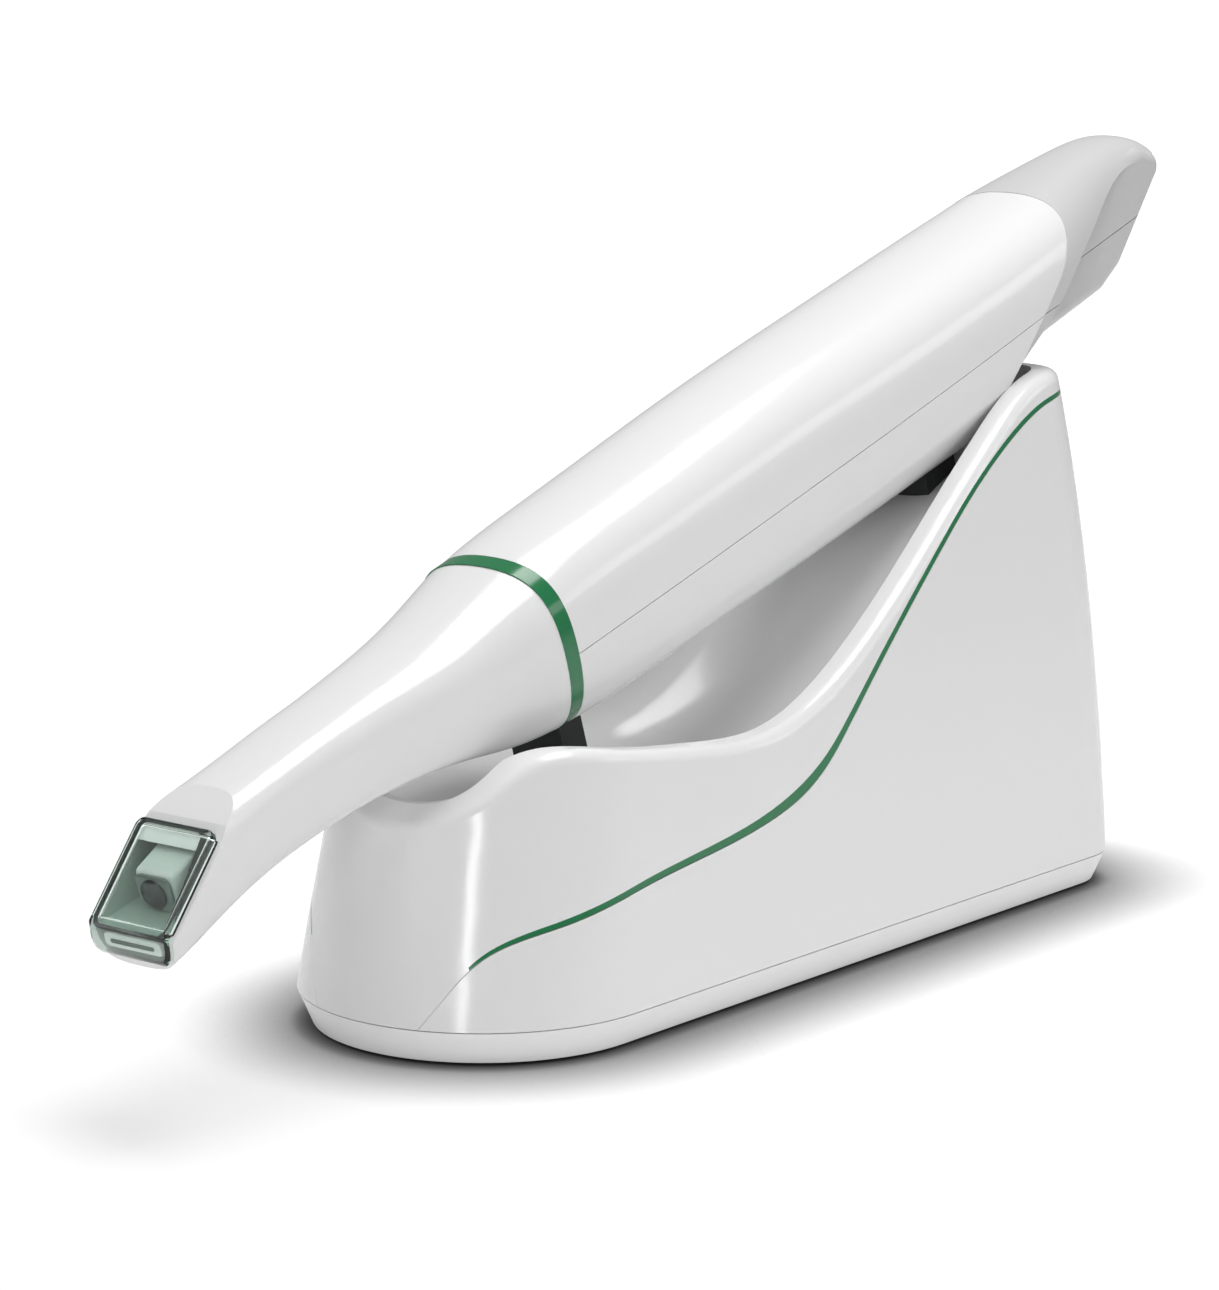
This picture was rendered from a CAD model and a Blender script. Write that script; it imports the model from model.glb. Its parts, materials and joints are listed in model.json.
"""Looks of a cordless intraoral scanner lying in its desktop cradle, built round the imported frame."""
import json
import math

import bpy
from mathutils import Matrix, Quaternion, Vector


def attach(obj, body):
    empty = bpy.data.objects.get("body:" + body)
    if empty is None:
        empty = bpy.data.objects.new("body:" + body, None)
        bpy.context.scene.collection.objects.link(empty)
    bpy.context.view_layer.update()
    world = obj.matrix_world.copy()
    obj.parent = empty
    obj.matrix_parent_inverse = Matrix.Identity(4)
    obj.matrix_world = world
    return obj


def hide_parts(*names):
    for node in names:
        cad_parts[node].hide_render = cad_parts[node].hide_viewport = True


MM = 0.001
# Two places in metres that lie closer than this are the same place
NEAR = 1e-6

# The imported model, and its box before anything is added
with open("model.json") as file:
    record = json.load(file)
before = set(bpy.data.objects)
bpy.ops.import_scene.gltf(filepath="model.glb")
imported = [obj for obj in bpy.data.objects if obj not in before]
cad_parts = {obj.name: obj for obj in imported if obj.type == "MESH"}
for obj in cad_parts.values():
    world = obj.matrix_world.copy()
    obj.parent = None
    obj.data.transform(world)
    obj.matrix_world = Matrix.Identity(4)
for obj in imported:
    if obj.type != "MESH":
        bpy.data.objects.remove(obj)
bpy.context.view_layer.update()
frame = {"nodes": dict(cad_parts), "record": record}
bpy.ops.object.select_all(action="DESELECT")
scene = bpy.context.scene
scene.view_settings.view_transform = "Standard"

# Camera at the photograph's angle, in millimetres and degrees
CAMERA_PLACE = (-607.4, -460.6, 204.1)
CAMERA_AIM = (-46.8, -14.3, 64.7)
CAMERA_ROLL = 0.28
CAMERA_LENS = 119.6
# What the camera sees begins and ends at these distances, in metres
CAMERA_CLIP = (0.05, 20)


def make_camera():
    """The camera that the photograph was taken from."""
    bpy.ops.object.camera_add(location=Vector(CAMERA_PLACE) * MM)
    camera = bpy.context.object
    camera.name = "camera"
    camera.data.lens = CAMERA_LENS
    camera.data.clip_start, camera.data.clip_end = CAMERA_CLIP
    towards = Vector(CAMERA_AIM) - Vector(CAMERA_PLACE)
    camera.rotation_mode = "QUATERNION"
    roll = Quaternion((0, 0, 1), math.radians(CAMERA_ROLL))
    camera.rotation_quaternion = towards.to_track_quat("-Z", "Y") @ roll
    scene.camera = camera


make_camera()


# The handpiece's own frame: its axis climbs from the green ring towards the tail
SLOPE = math.radians(18.14)
RING_CENTRE = Vector((-58.4, 0, 65.1)) * MM
AXIS = Vector((math.cos(SLOPE), 0, math.sin(SLOPE)))
UP = Vector((-math.sin(SLOPE), 0, math.cos(SLOPE)))


# Materials
POLYMER_IOR = 1.53
SILICONE_IOR = 1.43
# A moulded face's gloss drifts by this share over patches of this size
GLOSS_DRIFT_SHARE = 0.05
GLOSS_PATCH_MM = 40
# The middle stretch of a noise's values, which its drift is spread over
NOISE_MIDDLE = (0.3, 0.7)
# Brushed grain is this much longer than wide, and this deep
GRAIN_STRETCH = 20
GRAIN_DEPTH_MM = 0.02


def linear(colour):
    """Linear colour of an sRGB hex value."""
    parts = [int(colour[i:i + 2], 16) / 255 for i in (1, 3, 5)]
    return [p / 12.92 if p <= 0.04045 else ((p + 0.055) / 1.055) ** 2.4 for p in parts] + [1.0]


def add(tree, kind, settings=None, links=None):
    """Adds a node with its settings, and links its inputs to the outputs given."""
    node = tree.nodes.new(kind)
    for name, value in (settings or {}).items():
        if isinstance(name, int) or name in node.inputs:
            node.inputs[name].default_value = value
        else:
            setattr(node, name, value)
    for name, output in (links or {}).items():
        tree.links.new(output, node.inputs[name])
    return node


def new_tree(name):
    """An empty node material and its tree."""
    material = bpy.data.materials.new(name)
    material.use_nodes = True
    material.node_tree.nodes.clear()
    return material, material.node_tree


def moulded(name, colour, roughness, ior=POLYMER_IOR, ripple_mm=1.6, ripple_depth_mm=0.012):
    """Injection-moulded plastic: one clean colour, with the faint ripple and gloss drift of a moulded face."""
    material, tree = new_tree(name)
    place = add(tree, "ShaderNodeTexCoord").outputs["Object"]
    ripple = add(
        tree, "ShaderNodeTexNoise",
        {"Scale": 1 / (ripple_mm * MM), "Detail": 3.0, "Roughness": 0.5}, {"Vector": place},
    )
    patches = add(
        tree, "ShaderNodeTexNoise", {"Scale": 1 / (GLOSS_PATCH_MM * MM), "Detail": 2.0}, {"Vector": place}
    )
    gloss = add(
        tree, "ShaderNodeMapRange",
        {
            "From Min": NOISE_MIDDLE[0], "From Max": NOISE_MIDDLE[1],
            "To Min": roughness * (1 - GLOSS_DRIFT_SHARE), "To Max": roughness * (1 + GLOSS_DRIFT_SHARE),
        },
        {"Value": patches.outputs["Fac"]},
    )
    bump = add(
        tree, "ShaderNodeBump", {"Strength": 0.25, "Distance": ripple_depth_mm * MM},
        {"Height": ripple.outputs["Fac"]},
    )
    shader = add(
        tree, "ShaderNodeBsdfPrincipled", {"Base Color": linear(colour), "IOR": ior},
        {"Roughness": gloss.outputs["Result"], "Normal": bump.outputs["Normal"]},
    )
    add(tree, "ShaderNodeOutputMaterial", links={"Surface": shader.outputs["BSDF"]})
    return material


def clear(name, colour, roughness, ior, reflection, depth_colour, density):
    """Clear moulded polymer: bright face on, deeper in colour where more of it is looked through."""
    material, tree = new_tree(name)
    shader = add(
        tree, "ShaderNodeBsdfPrincipled",
        {
            "Base Color": linear(colour), "Roughness": roughness, "IOR": ior,
            "Transmission Weight": 1.0, "Specular IOR Level": reflection,
        },
    )
    inside = add(tree, "ShaderNodeVolumeAbsorption", {"Color": linear(depth_colour), "Density": density})
    add(
        tree, "ShaderNodeOutputMaterial",
        links={"Surface": shader.outputs["BSDF"], "Volume": inside.outputs["Volume"]},
    )
    return material


def faded(name, near, far, near_s, far_s, roughness):
    """Moulded plastic whose tone runs from near to far between two places along the handpiece, in mm."""
    material, tree = new_tree(name)
    place = add(tree, "ShaderNodeTexCoord")
    reach = add(
        tree, "ShaderNodeVectorMath", {"operation": "DOT_PRODUCT", 1: tuple(AXIS)}, {0: place.outputs["Object"]}
    )
    from_ring = add(
        tree, "ShaderNodeMath", {"operation": "SUBTRACT", 1: AXIS.dot(RING_CENTRE)}, {0: reach.outputs["Value"]}
    )
    share = add(
        tree, "ShaderNodeMapRange",
        {"From Min": near_s * MM, "From Max": far_s * MM, "interpolation_type": "SMOOTHSTEP"},
        {"Value": from_ring.outputs[0]},
    )
    tone = add(
        tree, "ShaderNodeMix", {"data_type": "RGBA", 6: linear(near), 7: linear(far)},
        {0: share.outputs["Result"]},
    )
    shader = add(
        tree, "ShaderNodeBsdfPrincipled", {"Roughness": roughness, "IOR": POLYMER_IOR},
        {"Base Color": tone.outputs[2]},
    )
    add(tree, "ShaderNodeOutputMaterial", links={"Surface": shader.outputs["BSDF"]})
    return material


def metal(name, colour, roughness, grain_mm=0.3):
    """Bare metal with a fine brushed grain along X."""
    material, tree = new_tree(name)
    place = add(tree, "ShaderNodeTexCoord")
    along = add(
        tree, "ShaderNodeMapping", {"Scale": (1 / GRAIN_STRETCH, 1, 1)}, {"Vector": place.outputs["Object"]}
    )
    grain = add(
        tree, "ShaderNodeTexNoise", {"Scale": 1 / (grain_mm * MM), "Detail": 2.0},
        {"Vector": along.outputs["Vector"]},
    )
    bump = add(
        tree, "ShaderNodeBump", {"Strength": 0.2, "Distance": GRAIN_DEPTH_MM * MM},
        {"Height": grain.outputs["Fac"]},
    )
    shader = add(
        tree, "ShaderNodeBsdfPrincipled",
        {"Base Color": linear(colour), "Metallic": 1.0, "Roughness": roughness},
        {"Normal": bump.outputs["Normal"]},
    )
    add(tree, "ShaderNodeOutputMaterial", links={"Surface": shader.outputs["BSDF"]})
    return material


MATERIALS = {
    # High-gloss white ABS from a polished mould: soft wide highlights over a clean white
    "white_shell": moulded("gloss_abs_white", "#F3F3F3", 0.16),
    # The same ABS in green: a thin bright trim with a sharp highlight
    "green_trim": moulded("gloss_abs_green", "#1E7A4A", 0.14),
    # Satin polycarbonate of the rear cap: pale grey with broad highlights
    "grey_cap": moulded("satin_polycarbonate_grey", "#D2D2D2", 0.3),
    # Satin ABS of the base: a band a little brighter and duller than the shell above it
    "base_white": moulded("satin_abs_base", "#F6F6F6", 0.3),
    # Dull nitrile of the pad and the seals: near black, almost without highlights
    "pad_rubber": moulded("moulded_nitrile_black", "#26282A", 0.75, 1.52, 0.8, 0.05),
    # Black silicone of the rests: a soft dark block in the gap under the handpiece
    "rest_rubber": moulded("moulded_silicone_black", "#2C2E2F", 0.6, SILICONE_IOR, 0.8, 0.03),
    # Grey silicone of the button: matt against the glossy body
    "button_rubber": moulded("moulded_silicone_grey", "#C9CCCC", 0.6, SILICONE_IOR, 0.8, 0.03),
    # Brushed steel of the screws and the ballast
    "steel": metal("brushed_steel", "#B8B8B8", 0.35),
    # Black polycarbonate of the optics: dark, so that the lens reads as a hole
    "optics_black": moulded("satin_polycarbonate_black", "#1B1E1E", 0.25),
    # Coated clear acrylic with a green cast: bright inside, darker green where an edge is looked along
    "window_glass": clear("clear_tinted_acrylic", "#F4FBF8", 0.01, 1.49, 0.25, "#7FC8A4", 55.0),
    # Coated lens glass: black with one small sharp highlight, and no ripple
    "lens_glass": moulded("coated_optical_glass", "#050807", 0.05, 1.6, 2.0, 0.0),
    # Solder resist of the boards: flat dark green
    "circuit_board": moulded("solder_resist_green", "#14532F", 0.45),
    # Shrink sleeve of the battery: plain mid grey
    "battery_case": moulded("shrink_sleeve_grey", "#55585A", 0.4),
    # Gold-plated brass of the contacts: warm against the grey bay
    "contact_metal": metal("gold_plated_brass", "#D8B25A", 0.25),
}
# Glossy polycarbonate of the camera's prism: pale in front, deep green towards the tip's root
CAMERA_PRISM = faded("gloss_polycarbonate_prism", "#E6EEEA", "#35503F", -88.0, -75.0, 0.14)
# Satin polycarbonate inside the window's mouth: a green-grey funnel that darkens inwards
MOUTH_LINER = faded("satin_polycarbonate_liner", "#B4C6BD", "#3C5549", -94.0, -76.0, 0.2)
# Satin polycarbonate of the camera's face: a mid grey that frames the dark lens
FACE_PLATE = moulded("satin_polycarbonate_face", "#7C8783", 0.2)
# Glossy polycarbonate of the slot in the tip's end: a dark green line in the white
SLOT_GREEN = moulded("gloss_polycarbonate_slot", "#0C3A26", 0.12)

slot_of = {row["node"]: row["material_slot"] for row in frame["record"]["subparts"]}
for name, node in frame["nodes"].items():
    node.data.materials.clear()
    node.data.materials.append(MATERIALS[slot_of[name]])


# How a piece is made: a primitive, edits of its mesh, modifiers, then its seat
def start(name):
    """Names the primitive just added and deselects all of its mesh."""
    piece = bpy.context.object
    piece.name = name
    bpy.ops.object.mode_set(mode="EDIT")
    bpy.ops.mesh.select_all(action="DESELECT")
    bpy.ops.object.mode_set(mode="OBJECT")
    return piece


def set_size(piece, size):
    """Scales the piece's unit mesh along its axes and applies all of its placing."""
    piece.scale = size
    bpy.ops.object.transform_apply(location=True, rotation=True, scale=True)


def slab(name, low, high):
    """A box between two corners in millimetres, ready to be shaped."""
    middle = [(a + b) / 2 * MM for a, b in zip(low, high)]
    bpy.ops.mesh.primitive_cube_add(size=1, location=middle)
    piece = start(name)
    set_size(piece, [(b - a) * MM for a, b in zip(low, high)])
    return piece


def pick(piece, test, kind="FACE"):
    """Opens the mesh with only those faces, edges or points selected whose middle passes the test."""
    bpy.ops.object.mode_set(mode="EDIT")
    bpy.ops.mesh.select_mode(type=kind)
    bpy.ops.mesh.select_all(action="DESELECT")
    bpy.ops.object.mode_set(mode="OBJECT")
    mesh = piece.data
    rows = {"FACE": mesh.polygons, "EDGE": mesh.edges, "VERT": mesh.vertices}[kind]
    for row in rows:
        if kind == "VERT":
            row.select = test(row.co)
        else:
            ends = [mesh.vertices[v].co for v in row.vertices]
            row.select = test(sum(ends, Vector()) / len(ends))
    bpy.ops.object.mode_set(mode="EDIT")


def round_corners(piece, axes, radius, segments):
    """Rounds the edges that lie at an end of the piece along both of two axes, 0 to 2 for X to Z."""
    bpy.ops.object.mode_set(mode="OBJECT")
    ends = {}
    for axis in axes:
        reach = [v.co[axis] for v in piece.data.vertices]
        ends[axis] = (min(reach), max(reach))
    pick(piece, lambda c: all(min(abs(c[axis] - end) for end in ends[axis]) < NEAR for axis in axes), "EDGE")
    bpy.ops.mesh.bevel(offset=radius * MM, segments=segments, affect="EDGES")


def apply(piece, kind, **settings):
    """Adds a modifier with its settings and applies it."""
    bpy.ops.object.mode_set(mode="OBJECT")
    modifier = piece.modifiers.new(kind.lower(), kind)
    for name, value in settings.items():
        setattr(modifier, name, value)
    bpy.context.view_layer.objects.active = piece
    bpy.ops.object.modifier_apply(modifier=modifier.name)


def soften(piece, radius, segments, sharpest=50):
    """Rounds every edge that turns by more than an angle, in millimetres and degrees."""
    apply(
        piece, "BEVEL", width=radius * MM, segments=segments,
        limit_method="ANGLE", angle_limit=math.radians(sharpest),
    )


def extrude(x=0.0, z=0.0):
    """Draws the selected faces out by a distance in millimetres."""
    bpy.ops.mesh.extrude_region_move(TRANSFORM_OT_translate={"value": (x * MM, 0, z * MM)})


def seat(piece, material, body, slope=0.0, place=(0, 0), smooth=30.0):
    """Turns a finished piece into the handpiece's frame and makes it ride on a body.

    The place is how far along the axis and above it the piece's own middle lies, in millimetres from the ring.
    """
    bpy.ops.object.mode_set(mode="OBJECT")
    spot = RING_CENTRE + (AXIS * place[0] + UP * place[1]) * MM
    piece.matrix_world = Matrix.Translation(spot) @ Matrix.Rotation(-(SLOPE + slope), 4, "Y")
    bpy.ops.object.select_all(action="DESELECT")
    piece.select_set(True)
    bpy.context.view_layer.objects.active = piece
    bpy.ops.object.transform_apply(location=True, rotation=True, scale=True)
    bpy.ops.object.shade_smooth_by_angle(angle=math.radians(smooth))
    piece.data.materials.append(material)
    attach(piece, body)
    bpy.ops.object.select_all(action="DESELECT")


# Window of the tip, in millimetres. Its plane leans against the axis by the window's slope
WINDOW_SLOPE = math.radians(34.0)
WINDOW_PLACE = (-87.4, 1.75)
HOOD_WIDTH, HOOD_LENGTH, HOOD_RISE = 16.6, 18.8, 1.9
HOOD_WALL, HOOD_PLATE = 1.2, 0.9
HOOD_CORNER, HOOD_EDGE = 1.6, 0.4
# How far the hood's lip reaches past the tip's end, and down over it
LIP_REACH, LIP_DROP = 3.1, 3.3
# Height of the seal under the hood, its width, and how far its near side widens at the lip and at the brow
GASKET, GASKET_WIDTH = 0.25, 0.6
SHADE_LOW, SHADE_HIGH = 0.8, 2.6
# Air between two pieces that would touch
GAP = 0.02
# A face or point counts as lying at a piece's rim within this distance
RIM = 0.1
# Funnel inside the mouth: its mouth's length and width, its wall, and its place
LINER_LENGTH, LINER_WIDTH, LINER_WALL = 17.4, 15.0, 0.3
LINER_PLACE = (-87.2, 1.45)
# How far the funnel's small end lies behind its mouth, its size as shares of the mouth's, and its turn in degrees
LINER_DEPTH = (10.05 * MM, 0, -6.9 * MM)
LINER_END_SHARES = (0.635, 0.86, 1)
LINER_TURN = 45.7

# White bar over the tip's end, and the green slot let into it: two opposite corners each, then what is rounded
CAP_BOX = ((-95.2, -6.0, -6.4), (-94.4, 6.0, -4.0))
SLOT_BOX = ((-95.35, -4.6, -5.6), (-95.22, 4.6, -4.9))
CAP_CORNER, CAP_EDGE, SLOT_CORNER = 0.8, 0.15, 0.3

# Camera behind the window, in millimetres along the axis and above it
CAMERA_FRONT, CAMERA_ROOT = -88.0, -72.0
CAMERA_HALF_WIDTH, CAMERA_LOW, CAMERA_HIGH, CAMERA_EDGE = 4.1, -3.7, 3.2, 0.9
# The prism's root is wider and higher than its front by these shares, and climbs by this much
ROOT_SHARES = (1, 1.35, 1.28)
ROOT_CLIMB = 1.9
# Plate on the prism's front: its thickness with its gap, its border, and what is rounded
PLATE_DEPTH, PLATE_BORDER, PLATE_CORNER, PLATE_EDGE = 0.5, 0.3, 1.5, 0.15
# Lens, the bezel round it, and the well in the bezel
LENS_N = -0.3
BEZEL_RADIUS, BEZEL_LENGTH, BEZEL_EDGE = 2.6, 0.5, 0.08
WELL_BORDER, WELL_DEPTH = 0.45, 0.3
LENS_RADIUS, LENS_CROWN_SHARE, LENS_STANDOUT = 2.2, 0.3, 0.75


def make_hood():
    """Clear hood over the window: a shallow rounded cover with a lip that turns down over the tip's end."""
    end, side = HOOD_LENGTH / 2, HOOD_WIDTH / 2
    hood = slab("glass_hood", (-end, -side, GASKET), (end, side, HOOD_RISE))
    pick(hood, lambda c: c.x < (RIM - end) * MM)
    extrude(x=-LIP_REACH, z=-LIP_DROP)
    round_corners(hood, (0, 1), HOOD_CORNER, 5)
    # The cavity under the plate
    pick(hood, lambda c: abs(c.z - GASKET * MM) < NEAR)
    bpy.ops.mesh.inset(thickness=HOOD_WALL * MM)
    extrude(z=HOOD_RISE - HOOD_PLATE - GASKET)
    soften(hood, HOOD_EDGE, 4, sharpest=40)
    seat(hood, MATERIALS["window_glass"], "tip", WINDOW_SLOPE, WINDOW_PLACE)
    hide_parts("tip_window")


def make_gasket():
    """Black seal between the hood's walls and the tip's mouth, a dark line along the glass."""
    end, side = HOOD_LENGTH / 2, HOOD_WIDTH / 2
    gasket = slab("hood_gasket", (-end, -side, GAP), (end, side, GASKET - GAP))
    round_corners(gasket, (0, 1), HOOD_CORNER, 5)
    # The seal's middle is taken out of its upper and its lower face
    pick(gasket, lambda c: abs(c.x) < NEAR and abs(c.y) < NEAR)
    bpy.ops.mesh.inset(thickness=GASKET_WIDTH * MM)
    bpy.ops.mesh.bridge_edge_loops()
    # The near side widens towards the brow, as a shade for the camera
    near_rim, near_bend = -(side - RIM) * MM, -(side - GASKET_WIDTH - HOOD_CORNER - RIM) * MM
    far_rim = (end - RIM) * MM
    pick(gasket, lambda c: near_rim < c.y < near_bend and abs(c.x) < far_rim, "VERT")
    bpy.ops.transform.translate(value=(0, SHADE_LOW * MM, 0))
    pick(gasket, lambda c: near_rim < c.y < 0 and 0 < c.x < far_rim, "VERT")
    bpy.ops.transform.translate(value=(0, (SHADE_HIGH - SHADE_LOW) * MM, 0))
    seat(gasket, MATERIALS["pad_rubber"], "tip", WINDOW_SLOPE, WINDOW_PLACE)


def make_end_cap():
    """White bar that closes the tip's end under the window, with a dark green slot along it."""
    cap = slab("tip_end_cap", *CAP_BOX)
    round_corners(cap, (1, 2), CAP_CORNER, 4)
    soften(cap, CAP_EDGE, 2)
    seat(cap, MATERIALS["white_shell"], "tip")
    slot = slab("tip_end_slot", *SLOT_BOX)
    round_corners(slot, (1, 2), SLOT_CORNER, 4)
    seat(slot, SLOT_GREEN, "tip")


def make_liner():
    """Funnel between the window's mouth and the camera's prism: floor, roof and side walls."""
    bpy.ops.mesh.primitive_plane_add(size=1)
    liner = start("mouth_liner")
    set_size(liner, (LINER_LENGTH * MM, LINER_WIDTH * MM, 1))
    pick(liner, lambda c: True)
    bpy.ops.mesh.extrude_region_move(TRANSFORM_OT_translate={"value": LINER_DEPTH})
    bpy.ops.transform.resize(value=LINER_END_SHARES, center_override=LINER_DEPTH)
    bpy.ops.transform.rotate(value=math.radians(LINER_TURN), orient_axis="Y", center_override=LINER_DEPTH)
    # Both ends are open
    bpy.ops.mesh.delete(type="ONLY_FACE")
    pick(liner, lambda c: abs(c.z) < NEAR)
    bpy.ops.mesh.delete(type="ONLY_FACE")
    apply(liner, "SOLIDIFY", thickness=LINER_WALL * MM, offset=0)
    seat(liner, MOUTH_LINER, "tip", WINDOW_SLOPE, LINER_PLACE)
    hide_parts("window_frame")


def make_prism():
    """Camera housing: a soft-edged prism that widens and climbs towards the root of the tip."""
    prism = slab(
        "camera_prism",
        (CAMERA_FRONT, -CAMERA_HALF_WIDTH, CAMERA_LOW), (CAMERA_ROOT, CAMERA_HALF_WIDTH, CAMERA_HIGH),
    )
    pick(prism, lambda c: c.x > (CAMERA_ROOT - RIM) * MM)
    bpy.ops.transform.resize(value=ROOT_SHARES, center_override=(CAMERA_ROOT * MM, 0, LENS_N * MM))
    bpy.ops.transform.translate(value=(0, 0, ROOT_CLIMB * MM))
    soften(prism, CAMERA_EDGE, 4)
    seat(prism, CAMERA_PRISM, "cradle")
    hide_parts("camera_housing")


def make_face_plate():
    """Grey soft-cornered plate on the camera's front."""
    side = CAMERA_HALF_WIDTH - PLATE_BORDER
    plate = slab(
        "camera_face_plate",
        (CAMERA_FRONT - PLATE_DEPTH, -side, CAMERA_LOW + PLATE_BORDER),
        (CAMERA_FRONT - GAP, side, CAMERA_HIGH - PLATE_BORDER),
    )
    round_corners(plate, (1, 2), PLATE_CORNER, 5)
    soften(plate, PLATE_EDGE, 3)
    seat(plate, FACE_PLATE, "cradle")


def make_bezel():
    """Black ring on the face plate, with the well that the lens sits in."""
    front = CAMERA_FRONT - PLATE_DEPTH - GAP - BEZEL_LENGTH
    bpy.ops.mesh.primitive_cylinder_add(
        vertices=64, radius=BEZEL_RADIUS * MM, depth=BEZEL_LENGTH * MM,
        location=((front + BEZEL_LENGTH / 2) * MM, 0, LENS_N * MM), rotation=(0, math.radians(90), 0),
    )
    bezel = start("lens_bezel")
    bpy.ops.object.transform_apply(location=True, rotation=True, scale=True)
    pick(bezel, lambda c: c.x < (front + GAP) * MM)
    bpy.ops.mesh.inset(thickness=WELL_BORDER * MM)
    extrude(x=WELL_DEPTH)
    soften(bezel, BEZEL_EDGE, 2)
    seat(bezel, MATERIALS["optics_black"], "cradle")
    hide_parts("camera_barrel")


def make_lens():
    """Crowned lens in the bezel's well: half a ball with a flat back, pressed flatter along the axis."""
    bpy.ops.mesh.primitive_uv_sphere_add(
        segments=48, ring_count=24, radius=LENS_RADIUS * MM, location=(0, 0, 0), rotation=(0, math.radians(90), 0)
    )
    lens = start("front_lens")
    bpy.ops.object.transform_apply(location=True, rotation=True, scale=True)
    pick(lens, lambda c: c.x > NEAR, "VERT")
    bpy.ops.mesh.delete(type="VERT")
    pick(lens, lambda c: c.x > -NEAR, "VERT")
    bpy.ops.mesh.edge_face_add()
    pick(lens, lambda c: True)
    bpy.ops.transform.resize(value=(LENS_CROWN_SHARE, 1, 1), center_override=(0, 0, 0))
    bpy.ops.transform.translate(value=((CAMERA_FRONT - LENS_STANDOUT) * MM, 0, LENS_N * MM))
    seat(lens, MATERIALS["lens_glass"], "cradle", smooth=60.0)
    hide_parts("camera_lens")


make_hood()
make_gasket()
make_end_cap()
make_liner()
make_prism()
make_face_plate()
make_bezel()
make_lens()


# Floor, world and lamps
FLOOR_SIZE = 30
# Light that the world gives the object, as a share of the white that the camera sees
WORLD_LIGHT_SHARE = 0.3
# The floor's own glow near the object, and the distances in metres over which it rises to white
FLOOR_GLOW = 0.42
FLOOR_REACH = (0.25, 1.6)
# Shadow where the object stands: how near it has to be in metres, and how fast the shadow fades
CONTACT_REACH, CONTACT_POWER = 0.024, 2.6
# Soft boxes: name, place and aim in metres, width, height, watts
SOFT_BOXES = (
    ("overhead_soft_box", (0.12, -0.05, 1.0), (0, 0, 0.08), 0.9, 0.5, 8.2),
    ("nose_strip_box", (-0.93, -0.44, 0.2), (-0.08, -0.01, 0.04), 0.09, 0.26, 0.9),
    ("side_soft_box", (0.7, -0.75, 0.45), (0.03, 0, 0.06), 0.5, 0.2, 0.6),
)


def seen_directly(tree):
    """One for a ray from the camera, also through the clear hood, and nought for light on the object."""
    path = add(tree, "ShaderNodeLightPath")
    either = add(
        tree, "ShaderNodeMath", {"operation": "MAXIMUM"},
        {0: path.outputs["Is Camera Ray"], 1: path.outputs["Is Transmission Ray"]},
    )
    return either.outputs[0]


def make_floor():
    """A pale matt floor that the camera sees lifted to white, with the object's shadow kept."""
    bpy.ops.mesh.primitive_plane_add(size=FLOOR_SIZE)
    floor = bpy.context.object
    floor.name = "floor"
    material, tree = new_tree("pale_studio_floor")
    matt = add(tree, "ShaderNodeBsdfDiffuse", {"Color": linear("#F4F4F4")})
    # What the eye sees of the floor is darker where the object stands over it
    contact = add(tree, "ShaderNodeAmbientOcclusion", {"Distance": CONTACT_REACH, "samples": 16})
    open_share = add(
        tree, "ShaderNodeMath", {"operation": "POWER", 1: CONTACT_POWER}, {0: contact.outputs["AO"]}
    )
    tone = add(
        tree, "ShaderNodeMix", {"data_type": "RGBA", 6: linear("#3C3C3C"), 7: linear("#CFCFCF")},
        {0: open_share.outputs[0]},
    )
    sheet = add(tree, "ShaderNodeBsdfDiffuse", links={"Color": tone.outputs[2]})
    # Its glow rises with the distance from the object
    place = add(tree, "ShaderNodeTexCoord")
    away = add(tree, "ShaderNodeVectorMath", {"operation": "LENGTH"}, {0: place.outputs["Object"]})
    lift = add(
        tree, "ShaderNodeMapRange",
        {"From Min": FLOOR_REACH[0], "From Max": FLOOR_REACH[1], "To Min": FLOOR_GLOW, "To Max": 1.0},
        {"Value": away.outputs["Value"]},
    )
    strength = add(
        tree, "ShaderNodeMath", {"operation": "MULTIPLY"}, {0: open_share.outputs[0], 1: lift.outputs["Result"]}
    )
    glow = add(tree, "ShaderNodeEmission", {"Color": linear("#FFFFFF")}, {"Strength": strength.outputs[0]})
    both = add(tree, "ShaderNodeAddShader", links={0: sheet.outputs[0], 1: glow.outputs[0]})
    choice = add(
        tree, "ShaderNodeMixShader", links={0: seen_directly(tree), 1: matt.outputs[0], 2: both.outputs[0]}
    )
    add(tree, "ShaderNodeOutputMaterial", links={"Surface": choice.outputs[0]})
    floor.data.materials.append(material)


def make_world():
    """A world that is white to the camera and gives the object a softer light."""
    world = bpy.data.worlds.new("studio")
    scene.world = world
    world.use_nodes = True
    tree = world.node_tree
    tree.nodes.clear()
    strength = add(
        tree, "ShaderNodeMapRange", {"To Min": WORLD_LIGHT_SHARE, "To Max": 1.0}, {"Value": seen_directly(tree)}
    )
    sky = add(
        tree, "ShaderNodeBackground", {"Color": linear("#FFFFFF")}, {"Strength": strength.outputs["Result"]}
    )
    add(tree, "ShaderNodeOutputWorld", links={"Surface": sky.outputs["Background"]})


def make_lamps():
    """The studio's soft boxes."""
    for name, place, aim, width, height, watts in SOFT_BOXES:
        bpy.ops.object.light_add(type="AREA", location=place)
        lamp = bpy.context.object
        lamp.name = name
        lamp.data.shape = "RECTANGLE"
        lamp.data.size = width
        lamp.data.size_y = height
        lamp.data.energy = watts
        lamp.rotation_euler = (Vector(aim) - Vector(place)).to_track_quat("-Z", "Y").to_euler()


make_floor()
make_world()
make_lamps()
